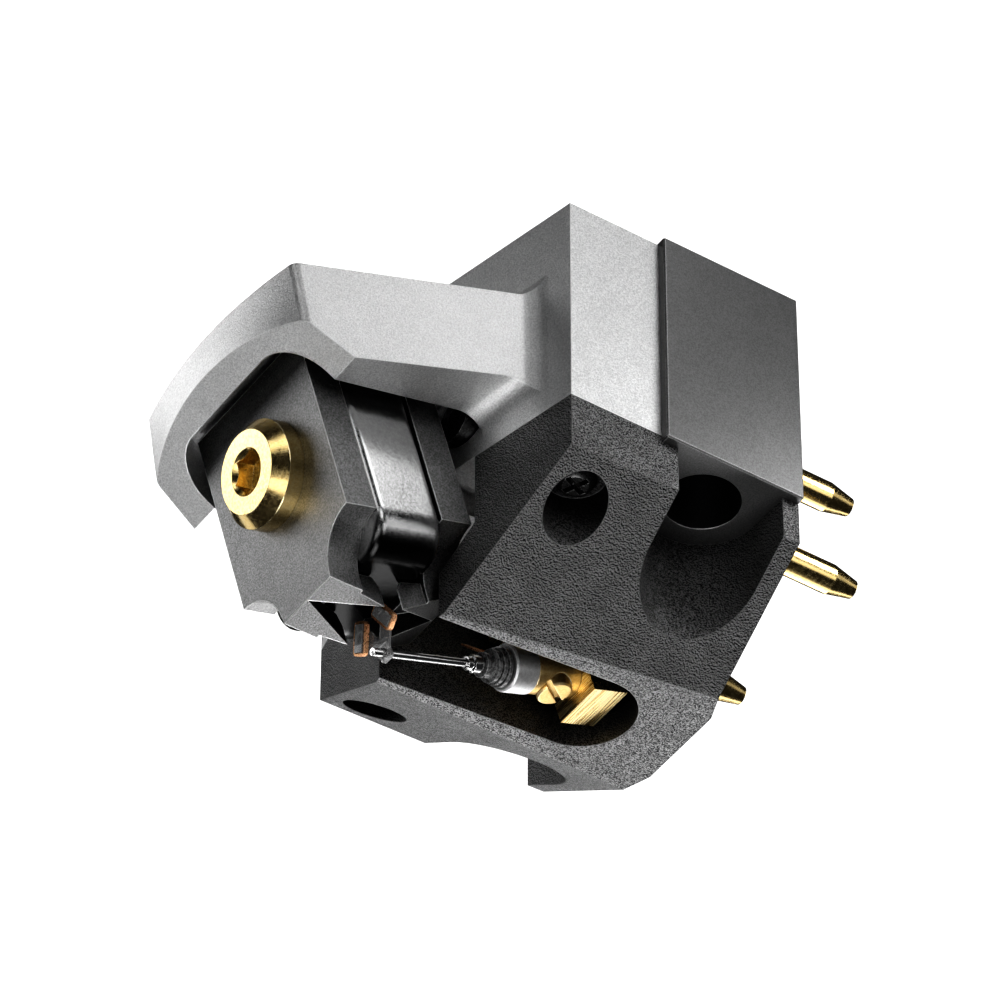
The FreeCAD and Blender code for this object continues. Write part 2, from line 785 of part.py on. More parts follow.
def lower_cover(doc):
    body = new_body(doc, "lower_cover")
    cover_form(body)
    mouth = new_sketch(body, "XZ_Plane", "mouth_section", shift="front_centre + 1")
    add_outline(mouth, mirrored_points([
        ("slot_half", "-mouth_waist"),
        ("mouth_half", "-mouth_shoulder"),
        ("mouth_half", "-body_height + 1"),
    ]))
    cut(body, "mouth", mouth, "front_centre + 1 + mouth_back")
    slot = new_sketch(body, "XY_Plane", "slot_plan", shift="-body_height")
    add_outline(slot, [
        ("slot_half", "-front_centre - 1"),
        ("slot_half", "-slot_end"),
        ("0", "-slot_end + slot_half"),
        ("-slot_half", "-slot_end"),
        ("-slot_half", "-front_centre - 1"),
    ], {1: ("slot_half", 1), 2: ("slot_half", 1)})
    cut(body, "slot", slot, "cover_nose_drop")
    for side, sign in SIDES.items():
        notch = new_sketch(body, "XY_Plane", "notch_plan_" + side, shift="-body_height + 1")
        inner = "%d * mount_spacing / 2" % sign
        outer = "%d * (body_half_width + 1)" % sign
        add_outline(notch, [
            (inner, "-notch_radius"),
            (outer, "-notch_radius"),
            (outer, "notch_radius"),
            (inner, "notch_radius"),
            ("%s - %d * notch_radius" % (inner, sign), "0"),
        ], {3: ("notch_radius", sign), 4: ("notch_radius", sign)})
        cut(body, "notch_" + side, notch, "cover_nose_drop")
        across = "%d * cover_screw_offset" % sign
        drill(body, "cover_screw_bore_" + side, "cover_screw_bore", "cover_nose_drop - cover_screw_seat",
              x=across, y="-cover_screw_reach", z="-cover_nose_drop")
        drill(body, "cover_screw_hole_" + side, "cover_screw_radius + screw_gap", "4",
              x=across, y="-cover_screw_reach", z="-cover_screw_seat - overshoot")
    return body


def cover_screw(doc, side):
    """Pan head screw with a cross recess, head down."""
    name = "cover_screw_" + side
    body = new_body(doc, name)
    sketch = new_sketch(body, "XZ_Plane", name + "_profile")
    length = "(cover_screw_seat - cover_screw_end)"
    add_outline(sketch, [
        ("0", "-cover_screw_head"),
        ("0.6 * cover_screw_head_radius", "-cover_screw_head"),
        ("cover_screw_head_radius", "-0.4 * cover_screw_head"),
        ("cover_screw_head_radius", "0"),
        ("cover_screw_radius", "0"),
        ("cover_screw_radius", length + " - 0.25"),
        ("0.4 * cover_screw_radius", length),
        ("0", length),
    ], {1: ("0.75 * cover_screw_head_radius", 1)})
    spin(body, name + "_turned", sketch)
    for k, (a, b) in enumerate((("recess_half_length", "recess_half_width"),
                                ("recess_half_width", "recess_half_length"))):
        arm = new_sketch(body, "XY_Plane", "%s_recess_%d" % (name, k + 1), shift="-cover_screw_head - 0.1")
        add_outline(arm, mirrored_points([(a, "-" + b), (a, b)]))
        cut(body, "%s_slot_%d" % (name, k + 1), arm, "recess_depth + 0.1", back=True)
    place(body, "%d * cover_screw_offset" % SIDES[side], "-cover_screw_reach", "-cover_screw_seat",
          axis="0; 0; 1", angle="%d" % (25 * SIDES[side]))
    return body


# Magnet system

def in_yoke_frame(item, back=False):
    """Front pieces stand in the magnet system's frame, the rear yoke faces the other way in it."""
    if back:
        depth = "2 * yoke_thickness + magnet_depth"
        half_turn = "(yoke_tilt - 90) / 2"
        axis = "0; cos(%s); sin(%s)" % (half_turn, half_turn)
        place(item, y=yoke_y(depth, "0"), z=yoke_z(depth, "0"), axis=axis, angle="180")
    else:
        place(item, y=yoke_y("0", "0"), z=yoke_z("0", "0"), angle="yoke_tilt - 90")


def yoke(doc, name, back):
    """Pole plate with a waisted foot and two pointed prongs that reach into the gap."""
    body = new_body(doc, name)
    waist = "(yoke_half - yoke_waist_radius)"
    foot = "(yoke_shoulder + yoke_waist_radius)"
    outline = new_sketch(body, "XY_Plane", name + "_outline")
    add_outline(outline, [
        ("-yoke_half", "-yoke_rise"),
        ("yoke_half", "-yoke_rise"),
        ("yoke_half", "yoke_shoulder"),
        (waist, foot),
        ("-" + waist, foot),
        ("-yoke_half", "yoke_shoulder"),
    ], {2: ("yoke_waist_radius", -1), 4: ("yoke_waist_radius", -1)})
    grow(body, name + "_plate", outline, "yoke_thickness")
    foot_side = new_sketch(body, "YZ_Plane", name + "_prong_side")
    add_outline(foot_side, [
        (foot, "0"),
        (foot + " - prong_rise", "0.3 * yoke_thickness"),
        (foot + " - prong_rise", "prong_heel_reach"),
        (foot + " + prong_knee", "prong_knee_reach"),
        (foot + " + prong_drop", "prong_reach"),
    ])
    grow(body, name + "_foot", foot_side, "2 * " + waist, both=True)
    level = "(%s - prong_rise)" % foot
    beyond = "(prong_knee_reach + overshoot)"
    widen = "prong_tip_half * (%s - notch_start) / (prong_reach - notch_start)" % beyond
    notch = new_sketch(body, "XZ_Plane", name + "_notch_plan", shift="-" + level)
    add_outline(notch, [
        ("0", "notch_start"),
        (widen, beyond),
        ("-" + widen, beyond),
    ])
    cut(body, name + "_notch", notch, "prong_rise + prong_drop + overshoot")
    for side, sign in SIDES.items():
        flank = new_sketch(body, "XZ_Plane", "%s_flank_%s" % (name, side), shift="-%s + 0.1" % level)
        taper = "(%s - (%s - prong_tip_half) * (%%s) / prong_reach)" % (waist, waist)
        add_outline(flank, [
            ("%d * %s" % (sign, taper % "yoke_thickness"), "yoke_thickness"),
            ("%d * %s" % (sign, taper % beyond), beyond),
            ("%d * yoke_half" % sign, beyond),
            ("%d * yoke_half" % sign, "yoke_thickness"),
        ])
        cut(body, "%s_taper_%s" % (name, side), flank, "prong_rise + prong_drop + overshoot")
    drill(body, name + "_hole", "yoke_screw_radius + screw_gap", "yoke_thickness + 2", z="-1")
    in_yoke_frame(body, back)
    return body


def magnet(doc):
    """Block between the yokes with rounded lower corners and rounded rims."""
    body = new_body(doc, "magnet")
    outline = new_sketch(body, "XY_Plane", "magnet_outline", shift="yoke_thickness")
    add_outline(outline, [
        ("-yoke_half", "-yoke_rise"),
        ("yoke_half", "-yoke_rise"),
        ("yoke_half", "magnet_foot - magnet_corner"),
        ("yoke_half - magnet_corner", "magnet_foot"),
        ("-yoke_half + magnet_corner", "magnet_foot"),
        ("-yoke_half", "magnet_foot - magnet_corner"),
    ], {2: ("magnet_corner", 1), 4: ("magnet_corner", 1)})
    block = grow(body, "magnet_block", outline, "magnet_depth")
    doc.recompute()
    ends = (size("yoke_thickness"), size("yoke_thickness + magnet_depth"))
    names = edges_where(block.Shape, lambda p, e: min(abs(p.z - end) for end in ends) < 0.01)
    rims = body.newObject("PartDesign::Fillet", "magnet_rims")
    rims.Base = (block, names)
    rims.setExpression("Radius", bound("magnet_edge"))
    drill(body, "magnet_hole", "yoke_screw_radius + screw_gap", "magnet_depth + 2",
          z="yoke_thickness - 1")
    in_yoke_frame(body)
    return body


def yoke_screw(doc):
    """Screw with a broad bevelled head and a hexagon socket below a round mouth."""
    end = "2 * yoke_thickness + magnet_depth + yoke_screw_grip"
    screw = lathe(doc, "yoke_screw", [
        ("0", "-yoke_screw_head + yoke_screw_mouth_depth"),
        ("0.8 * yoke_screw_mouth_radius", "-yoke_screw_head + yoke_screw_mouth_depth"),
        ("yoke_screw_mouth_radius", "-yoke_screw_head"),
        ("yoke_screw_face", "-yoke_screw_head"),
        ("yoke_screw_head_radius", "-yoke_screw_rim"),
        ("yoke_screw_head_radius", "0"),
        ("yoke_screw_radius", "0"),
        ("yoke_screw_radius", end + " - 0.2"),
        ("yoke_screw_radius - 0.2", end),
        ("0", end),
    ])
    hex_socket(screw, "yoke_screw_socket", "yoke_screw_socket_half", "yoke_screw_socket_depth",
               "-yoke_screw_head")
    in_yoke_frame(screw)
    return screw


# Stylus and cantilever

def stylus(doc):
    """Conical tip on a square shank."""
    tip = lathe(doc, "stylus", [
        ("0", "0"),
        ("stylus_half", "stylus_cone"),
        ("0", "stylus_cone"),
    ])
    shank = tip.newObject("PartDesign::AdditiveBox", "stylus_shank")
    square_bar(shank, "stylus_half", "stylus_height - stylus_cone", "stylus_cone")
    place(tip, y="-stylus_reach", z="-stylus_drop", angle="-stylus_lean")
    return tip


def square_bar(box, half, length, floor):
    """Sizes a square bar that stands on its own axis at the level floor."""
    box.setExpression("Length", bound("2 * (%s)" % half))
    box.setExpression("Width", bound("2 * (%s)" % half))
    box.setExpression("Height", bound(length))
    place(box, "-(%s)" % half, "-(%s)" % half, floor)


def cantilever(doc):
    """Fine rod with a square hole near its front end for the stylus."""
    rod = lathe(doc, "cantilever", [
        ("0", "-rod_front"),
        ("rod_radius", "-rod_front"),
        ("rod_radius", "rod_length"),
        ("0", "rod_length"),
    ])
    dy = "(cantilever_reach - stylus_reach)"
    dz = "(cantilever_drop - stylus_drop)"
    along = "(%s * cos(cantilever_tilt) + %s * sin(cantilever_tilt))" % (dy, dz)
    down = "(%s * sin(cantilever_tilt) - %s * cos(cantilever_tilt))" % (dy, dz)
    hole = rod.newObject("PartDesign::SubtractiveBox", "stylus_hole")
    half = "stylus_half + 0.5 * fit_gap"
    hole.setExpression("Length", bound("2 * (%s)" % half))
    hole.setExpression("Width", bound("2 * (%s)" % half))
    hole.setExpression("Height", bound("stylus_height + 0.4"))
    lean = "rotation(vector(1; 0; 0); 90 - cantilever_tilt - stylus_lean)"
    corner = "placement(vector(-(%s); -(%s); 0); rotation(vector(1; 0; 0); 0))" % (half, half)
    text = "placement(vector(0; %s; %s); %s) * %s" % (down, along, lean, corner)
    hole.setExpression("Placement", bound(text))
    in_arm_frame(rod)
    return rod


def cantilever_sleeve(doc):
    bore = "rod_radius + fit_gap"
    sleeve = lathe(doc, "cantilever_sleeve", [
        (bore, "sleeve_start"),
        ("sleeve_neck_radius", "sleeve_start"),
        ("sleeve_neck_radius", "sleeve_start + sleeve_neck"),
        ("sleeve_radius", "sleeve_start + sleeve_neck + 0.05"),
        ("sleeve_radius", "sleeve_end"),
        (bore, "sleeve_end"),
    ])
    in_arm_frame(sleeve)
    return sleeve


def coil(doc, side):
    """Oblong loop of fine wire that leans inwards at its top."""
    name = "coil_" + side
    body = new_body(doc, name)
    loop = new_sketch(body, "XY_Plane", name + "_loop", shift="-coil_thickness / 2")
    for wall, corner in (("0", "coil_corner"), ("coil_wall", "(coil_corner - coil_wall)")):
        across = "(coil_half_width - %s)" % wall
        along = "(coil_half_length - %s)" % wall
        add_outline(loop, [
            ("%s - %s" % (across, corner), "-" + along),
            (across, "-%s + %s" % (along, corner)),
            (across, "%s - %s" % (along, corner)),
            ("%s - %s" % (across, corner), along),
            ("-%s + %s" % (across, corner), along),
            ("-" + across, "%s - %s" % (along, corner)),
            ("-" + across, "-%s + %s" % (along, corner)),
            ("-%s + %s" % (across, corner), "-" + along),
        ], {0: (corner, 1), 2: (corner, 1), 4: (corner, 1), 6: (corner, 1)})
    grow(body, name + "_block", loop, "coil_thickness")
    sign = SIDES[side]
    spot = "coil_place + coil_thickness / 2"
    text = ("placement(vector(%d * coil_offset; %s; %s); rotation(vector(1; 0; 0); cantilever_tilt - 90)"
            " * rotation(vector(0; 0; 1); %d * coil_lean))")
    where = (sign, arm_y(spot, "-coil_rise"), arm_z(spot, "-coil_rise"), -sign)
    body.setExpression("Placement", bound(text % where))
    return body


def coil_former(doc):
    """Small block on the rod with two arms in a V, each ending in an oblong core for a coil."""
    body = new_body(doc, "coil_former")
    behind = "coil_place + coil_thickness + 0.5 * fit_gap"
    web = new_sketch(body, "XY_Plane", "former_web_outline", shift=behind)
    outer = "(coil_offset + former_end)"
    top = "-coil_rise - former_top"
    add_outline(web, [
        ("former_block_half", "0.5 * former_block_half"),
        (outer, "-coil_rise + former_foot"),
        (outer, top),
        ("coil_offset - former_inset", top),
        ("0", "-2.2 * former_block_half"),
        ("-coil_offset + former_inset", top),
        ("-" + outer, top),
        ("-" + outer, "-coil_rise + former_foot"),
        ("-former_block_half", "0.5 * former_block_half"),
    ])
    grow(body, "former_arms", web, "former_web")
    block = new_sketch(body, "XY_Plane", "former_block_outline", shift=behind)
    add_outline(block, mirrored_points([
        ("former_block_half", "-1.4 * former_block_half"),
        ("former_block_half", "former_block_half"),
    ]))
    grow(body, "former_block", block, "former_block_length")
    for side, sign in SIDES.items():
        core = body.newObject("PartDesign::AdditiveBox", "former_core_" + side)
        half_width = "(coil_half_width - coil_wall - fit_gap)"
        half_length = "(coil_half_length - coil_wall - fit_gap)"
        core.setExpression("Length", bound("2 * " + half_width))
        core.setExpression("Width", bound("2 * " + half_length))
        core.setExpression("Height", bound("coil_thickness + 2.5 * fit_gap + 0.5 * former_web"))
        middle = "vector(%d * coil_offset; -coil_rise; coil_place - 2 * fit_gap)" % sign
        lean = "rotation(vector(0; 0; 1); %d * coil_lean)" % -sign
        corner = "vector(-%s; -%s; 0); rotation(vector(0; 0; 1); 0)" % (half_width, half_length)
        core.setExpression("Placement", bound("placement(%s; %s) * placement(%s)" % (middle, lean, corner)))
    drill(body, "former_hole", "rod_radius + fit_gap", "former_block_length + 2", z="-0.5")
    in_arm_frame(body)
    return body


# Suspension

def suspension_wire(doc):
    wire = lathe(doc, "suspension_wire", [
        ("0", "rod_length"),
        ("suspension_wire_radius", "rod_length"),
        ("suspension_wire_radius", "suspension_wire_end"),
        ("0", "suspension_wire_end"),
    ])
    in_arm_frame(wire)
    return wire


def damper(doc):
    """Rubber ring: a plain nose and three ribs that grow towards the collar."""
    bore = "suspension_wire_radius + fit_gap"
    end = "(damper_end - damper_gap)"
    pitch = "((%s - damper_start - damper_nose) / 3)" % end
    profile = [
        (bore, "damper_start"),
        ("damper_nose_radius", "damper_start"),
        ("damper_nose_radius", "damper_start + damper_nose"),
    ]
    for k in range(3):
        start = "(damper_start + damper_nose + %d * %s)" % (k, pitch)
        rib = "(damper_ring_radius + %d * damper_ring_growth)" % k
        profile.append((rib, start))
        profile.append((rib, "%s + 0.7 * %s" % (start, pitch)))
        if k < 2:
            profile.append(("%s - damper_groove" % rib, "%s + 0.7 * %s" % (start, pitch)))
            profile.append(("%s - damper_groove" % rib, "%s + %s" % (start, pitch)))
    profile.append(("damper_ring_radius + damper_ring_growth", end))
    profile.append((bore, end))
    ring = lathe(doc, "damper", profile)
    in_arm_frame(ring)
    return ring


def damper_collar(doc):
    collar = lathe(doc, "damper_collar", [
        ("wire_bore", "damper_end"),
        ("collar_radius - edge_break", "damper_end"),
        ("collar_radius", "damper_end + edge_break"),
        ("collar_radius", "collar_end"),
        ("wire_bore", "collar_end"),
    ])
    in_arm_frame(collar)
    return collar


def suspension_holder(doc):
    """Round bar that grips the wire, held in the block, with a cross hole for its screw."""
    bar = lathe(doc, "suspension_holder", [
        ("0", "suspension_wire_end + thread_spare"),
        ("wire_bore", "suspension_wire_end + thread_spare"),
        ("wire_bore", "collar_end"),
        ("holder_radius - edge_break", "collar_end"),
        ("holder_radius", "collar_end + edge_break"),
        ("holder_radius", "holder_end"),
        ("0", "holder_end"),
    ])
    drill(bar, "set_screw_hole", "set_screw_radius + fit_gap", "holder_radius + 1",
          y="set_screw_floor", z="set_screw_place", angle="-90")
    in_arm_frame(bar)
    return bar


def holder_set_screw(doc):
    """Headless slotted screw that stands in the bar from below."""
    screw = lathe(doc, "holder_set_screw", [
        ("0", "0"),
        ("set_screw_radius", "0"),
        ("set_screw_radius", "set_screw_depth - edge_break"),
        ("set_screw_radius - edge_break", "set_screw_depth"),
        ("0", "set_screw_depth"),
    ])
    slot = screw.newObject("PartDesign::SubtractiveBox", "set_screw_slot")
    slot.setExpression("Length", bound("4 * set_screw_radius"))
    slot.setExpression("Width", bound("2 * set_screw_slot"))
    slot.setExpression("Height", bound("set_screw_slot_depth + overshoot"))
    floor = "set_screw_depth - set_screw_slot_depth"
    corner = "vector(-2 * set_screw_radius; -set_screw_slot; %s)" % floor
    text = "placement(vector(0; 0; 0); rotation(vector(0; 0; 1); set_screw_turn)) * placement(%s; %s)"
    slot.setExpression("Placement", bound(text % (corner, "rotation(vector(0; 0; 1); 0)")))
    floor = "set_screw_floor"
    place(screw, y=arm_y("set_screw_place", floor), z=arm_z("set_screw_place", floor),
          angle="cantilever_tilt - 180")
    return screw


def holder_block(doc):
    """Leaning block with the bar's bore and a flange that screws up under the base."""
    body = new_body(doc, "holder_block")
    side = new_sketch(body, "YZ_Plane", "block_side")
    back = "(block_start + block_length)"
    top = "(base_height + 0.5 * flange_thickness)"
    level = "((%s * sin(cantilever_tilt) + " + top + " - cantilever_drop) / cos(cantilever_tilt))"
    add_outline(side, [
        (arm_y("block_start", "block_below"), arm_z("block_start", "block_below")),
        (arm_y(back, "block_below"), arm_z(back, "block_below")),
        (arm_y(back, level % back), "-" + top),
        (arm_y("block_start", level % "block_start"), "-" + top),
    ])
    grow(body, "leaning_block", side, "2 * block_half", both=True)
    flange = new_sketch(body, "YZ_Plane", "flange_side")
    add_outline(flange, [
        ("-flange_front", "-base_height"),
        ("-flange_front", "-base_height - flange_thickness"),
        ("-flange_back", "-base_height - flange_thickness"),
        ("-flange_back", "-base_height"),
    ])
    grow(body, "flange", flange, "2 * flange_half", both=True)
    drill(body, "holder_bore", "holder_radius + fit_gap", "block_length + 1",
          y=arm_y("block_start - overshoot", "0"), z=arm_z("block_start - overshoot", "0"),
          angle="cantilever_tilt - 90")
    for side_name, sign in SIDES.items():
        drill(body, "flange_hole_" + side_name, "block_screw_radius + screw_gap", "flange_thickness + 1",
              x="%d * block_screw_offset" % sign, y="-(flange_front + flange_back) / 2",
              z="-base_height - flange_thickness - overshoot")
    return body


def block_screw(doc, side):
    screw = socket_screw(doc, "block_screw_" + side, "block_screw_head_radius", "block_screw_head",
                         "block_screw_radius", "base_height + flange_thickness - block_screw_end",
                         "block_screw_socket")
    place(screw, "%d * block_screw_offset" % SIDES[side], "-(flange_front + flange_back) / 2",
          "-base_height - flange_thickness")
    return screw


# Coil leads

def lead_wires(doc, side):
    """Two fine leads from the suspension, up through the base to the pins' tails."""
    start = [size(arm("damper_end + 0.5", "-lead_start")) for arm in (arm_y, arm_z)]
    hole_y = size("base_half_depth - pocket_depth + wire_hole_radius + wire_hole_wall")
    tail_y = size("base_half_depth - board_thickness - pin_tail")
    offset, floor = size("wire_hole_offset"), -size("pocket_bottom")
    solids = []
    for level, order in (("lower", -0.5), ("upper", 0.5)):
        shift = order * size("lead_pitch")
        pin_x, pin_z = size("pin_offset"), -size("pin_" + level)
        path = [
            (size("lead_start_half"), start[0] + shift, start[1]),
            (offset - size("lead_slack"), -size("lead_sag_reach") + shift, -size("lead_sag_drop")),
            (offset + shift, hole_y, -size("lead_entry_drop")),
            (offset + shift, hole_y, floor + size("lead_knee_" + level)),
            (pin_x, hole_y, pin_z),
            (pin_x, tail_y, pin_z),
        ]
        points = [FreeCAD.Vector(SIDES[side] * x, y, z) for x, y, z in path]
        solids.append(fine_wire(points, size("lead_radius")))
    leads = doc.addObject("Part::Feature", "lead_wires_" + side)
    leads.Shape = Part.makeCompound(solids)
    return leads


def fine_wire(points, radius):
    """Thin wire with mitred bends along the points."""
    ahead = (points[1] - points[0]).normalize()
    across = ahead.cross(FreeCAD.Vector(0, 0, 1)).normalize() * radius
    turns = [FreeCAD.Rotation(ahead, angle) for angle in range(0, 405, 45)]
    ring = Part.makePolygon([points[0] + turn.multVec(across) for turn in turns])
    return Part.makePolygon(points).makePipeShell([ring], True, False, 1)


def main():
    doc = FreeCAD.newDocument("Cartridge")
    make_sheet(doc)
    pieces = [mounting_base(doc), terminal_board(doc)]
    for side in SIDES:
        for level in ("upper", "lower"):
            pieces.append(terminal_pin(doc, side, level))
    pieces.append(front_body(doc))
    pieces.append(lower_cover(doc))
    for side in SIDES:
        pieces.append(body_screw(doc, side))
        pieces.append(cover_screw(doc, side))
        pieces.append(coil(doc, side))
        pieces.append(block_screw(doc, side))
        pieces.append(lead_wires(doc, side))
    pieces.append(yoke(doc, "front_yoke", False))
    pieces.append(magnet(doc))
    pieces.append(yoke(doc, "rear_yoke", True))
    for make in (yoke_screw, stylus, cantilever, cantilever_sleeve, coil_former, suspension_wire,
                 damper, damper_collar, suspension_holder, holder_set_screw, holder_block):
        pieces.append(make(doc))
    doc.recompute()
    for item in doc.Objects:
        if "Invalid" in item.State or "Error" in item.State:
            raise RuntimeError("%s failed: %s" % (item.Name, item.State))
    os.makedirs("parts", exist_ok=True)
    for piece in pieces:
        if piece.Shape.isNull() or not piece.Shape.isValid():
            raise RuntimeError("%s has no valid shape" % piece.Label)
        piece.Shape.exportStep("parts/%s.step" % piece.Label)


main()
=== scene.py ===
import bpy
import math
from mathutils import Matrix, Vector


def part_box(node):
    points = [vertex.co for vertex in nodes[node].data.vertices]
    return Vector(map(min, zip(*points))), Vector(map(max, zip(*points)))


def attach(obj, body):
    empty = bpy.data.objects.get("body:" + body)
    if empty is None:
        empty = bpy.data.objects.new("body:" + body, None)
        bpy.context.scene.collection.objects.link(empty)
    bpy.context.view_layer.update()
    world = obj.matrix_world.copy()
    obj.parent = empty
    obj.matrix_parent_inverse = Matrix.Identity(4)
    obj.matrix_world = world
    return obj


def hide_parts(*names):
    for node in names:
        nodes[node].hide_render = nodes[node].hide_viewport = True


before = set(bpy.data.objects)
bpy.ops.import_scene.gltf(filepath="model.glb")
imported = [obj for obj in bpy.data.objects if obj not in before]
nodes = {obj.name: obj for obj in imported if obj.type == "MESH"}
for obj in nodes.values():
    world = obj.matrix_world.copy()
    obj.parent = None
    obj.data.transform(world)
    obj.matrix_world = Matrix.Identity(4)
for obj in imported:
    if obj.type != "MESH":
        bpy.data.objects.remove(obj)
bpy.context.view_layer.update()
bpy.ops.object.select_all(action="DESELECT")

# Camera: a long lens below the cartridge, in front and to its right, as in the photograph.
# The lens and the place were worked out from the mounting block's known size.
azimuth = math.radians(56.469)
elevation = math.radians(-42.983)
roll = math.radians(0.18)
lens_length = 245.817
camera_place = (0.150190, -0.103911, -0.175092)
level = math.cos(elevation)
back = Vector((math.sin(azimuth) * level, -math.cos(azimuth) * level, math.sin(elevation)))
right = Vector((math.cos(azimuth), math.sin(azimuth), 0.0))
up = back.cross(right)
turned_right = right * math.cos(roll) + up * math.sin(roll)
turned_up = up * math.cos(roll) - right * math.sin(roll)
camera_data = bpy.data.cameras.new("photo_camera")
camera_data.lens = lens_length
camera_data.sensor_width = 36.0
camera_data.clip_start = 0.01
camera_data.clip_end = 10.0
camera = bpy.data.objects.new("photo_camera", camera_data)
turn = Matrix((turned_right, turned_up, back)).transposed().to_4x4()
camera.matrix_world = Matrix.Translation(camera_place) @ turn
bpy.context.scene.collection.objects.link(camera)
bpy.context.scene.camera = camera

# Studio: a plain pale floor well below the hanging cartridge, and white surroundings. Only the
# camera sees them at full strength, so that the metal reflects the softboxes and little else.
bpy.context.scene.view_settings.view_transform = "Standard"
bpy.context.scene.view_settings.look = "High Contrast"
floor_tone = (0.86, 0.86, 0.85, 1.0)
floor_glow = 0.7
floor_width = 2.4
floor_level = -0.32
bpy.ops.mesh.primitive_grid_add(x_subdivisions=8, y_subdivisions=8, size=floor_width,
                                location=(0.0, 0.0, floor_level))
floor = bpy.context.active_object
floor.name = "studio_floor"
floor.visible_diffuse = False
floor.visible_glossy = False
floor.visible_transmission = False
floor_paint = bpy.data.materials.new("pale_floor")
floor_paint.use_nodes = True
shade = floor_paint.node_tree.nodes["Principled BSDF"]
shade.inputs["Base Color"].default_value = floor_tone
shade.inputs["Roughness"].default_value = 0.8
shade.inputs["Emission Color"].default_value = floor_tone
shade.inputs["Emission Strength"].default_value = floor_glow
floor.data.materials.append(floor_paint)
floor.select_set(False)


def add(tree, kind, **values):
    """New node with its sockets and settings given by name."""
    node = tree.nodes.new(kind)
    for name, value in values.items():
        key = name.replace("_", " ")
        if key in node.inputs:
            node.inputs[key].default_value = value
        else:
            setattr(node, name, value)
    return node


world = bpy.data.worlds.new("white_studio")
world.use_nodes = True
bpy.context.scene.world = world
tree = world.node_tree
tree.nodes.clear()
seen = add(tree, "ShaderNodeBackground", Color=(1.0, 1.0, 1.0, 1.0), Strength=1.0)
lit = add(tree, "ShaderNodeBackground", Color=(0.95, 0.97, 1.0, 1.0), Strength=0.02)
path = add(tree, "ShaderNodeLightPath")
mix = add(tree, "ShaderNodeMixShader")
output = add(tree, "ShaderNodeOutputWorld")
tree.links.new(path.outputs["Is Camera Ray"], mix.inputs["Fac"])
tree.links.new(lit.outputs["Background"], mix.inputs[1])
tree.links.new(seen.outputs["Background"], mix.inputs[2])
tree.links.new(mix.outputs["Shader"], output.inputs["Surface"])


# Softboxes: square lamps all round the cartridge, aimed at it. The broad ones give each face its
# tone, and the small near ones give single faces the fall from light to dark of the photograph.
heart = (0.0, -0.006, -0.009)


def softbox(name, towards, glow, target=heart, distance=0.15, width=0.06):
    """Area light in a direction from its target, aimed at it, with the given brightness."""
    lamp = bpy.data.lights.new(name, "AREA")
    lamp.shape = "RECTANGLE"
    lamp.size = width
    lamp.size_y = width
    lamp.energy = glow * math.pi * width * width
    item = bpy.data.objects.new(name, lamp)
    direction = Vector(towards).normalized()
    item.location = Vector(target) + direction * distance
    item.rotation_euler = direction.to_track_quat("Z", "Y").to_euler()
    item.visible_camera = False
    bpy.context.scene.collection.objects.link(item)


softbox("arm_softbox", (0.71, 0.18, 0.68), 1.44)
softbox("slot_face_softbox", (-0.61, 0.51, -0.61), 1.30, width=0.07)
softbox("arm_under_softbox", (-0.61, 0.67, -0.42), 1.40)
softbox("keel_softbox", (0.85, 0.4, -0.33), 1.30)
softbox("front_fill_softbox", (0.61, -0.45, -0.65), 1.20, distance=0.25, width=0.1)
softbox("top_softbox", (0.0, 0.0, 1.0), 1.42, width=0.08)
softbox("below_softbox", (0.0, 0.0, -1.0), 4.70, width=0.08)
softbox("right_softbox", (0.97, -0.15, 0.1), 1.74)
softbox("back_right_softbox", (0.75, 0.65, 0.1), 0.77)
softbox("back_softbox", (0.05, 0.95, 0.3), 2.40, target=(0.0, 0.0, -0.008), width=0.08)
softbox("left_softbox", (-1.0, -0.1, -0.05), 0.80)
softbox("left_low_front_softbox", (-0.7, -0.6, -0.35), 1.36)
softbox("left_low_back_softbox", (-0.85, 0.45, -0.2), 4.70)
softbox("screw_cone_softbox", (0.59, -0.74, 0.32), 1.59)
softbox("yoke_face_softbox", (-0.61, -0.72, 0.33), 1.60, distance=0.12, width=0.07)
softbox("damper_softbox", (0.3, -0.6, -0.74), 1.78, width=0.05)
softbox("near_body_softbox", (0.68, 0.1, 0.6), 0.60,
        target=(0.0082, -0.0055, -0.008), distance=0.045, width=0.02)
softbox("near_nose_softbox", (-0.65, -0.55, 0.55), 0.61,
        target=(-0.004, -0.0165, -0.006), distance=0.03, width=0.02)
softbox("near_slot_face_softbox", (-0.5, 0.6, -0.62), 0.16,
        target=(0.002, 0.001, -0.017), distance=0.03, width=0.02)
softbox("near_base_low_softbox", (0.85, 0.45, -0.25), 0.12,
        target=(0.0085, 0.0, -0.013), distance=0.03, width=0.012)
softbox("near_base_high_softbox", (0.62, 0.5, 0.35), 4.92,
        target=(0.0085, 0.001, -0.01), distance=0.025, width=0.012)


# Front body: a block and a hollow bowed nose machined from one piece of aluminium, then
# blasted with sand so that its faces are even and pale and its edges catch the light, with a
# paler colour painted along them, partly as wear and partly as a highlight.
def effect(name, inputs, outputs):
    """Empty shader group with the given sockets: (name, type, default)."""
    group = bpy.data.node_groups.new(name, "ShaderNodeTree")
    for socket, kind, default in inputs:
        made = group.interface.new_socket(socket, in_out="INPUT", socket_type=kind)
        made.default_value = default
    for socket, kind in outputs:
        group.interface.new_socket(socket, in_out="OUTPUT", socket_type=kind)
    return group, group.nodes.new("NodeGroupInput"), group.nodes.new("NodeGroupOutput")


def maths(tree, operation, first, second):
    """Result of the given operation on two values, each of them a socket or a plain number."""
    node = add(tree, "ShaderNodeMath", operation=operation)
    for socket, value in zip(node.inputs, (first, second)):
        if isinstance(value, float):
            socket.default_value = value
        else:
            tree.links.new(value, socket)
    return node.outputs[0]


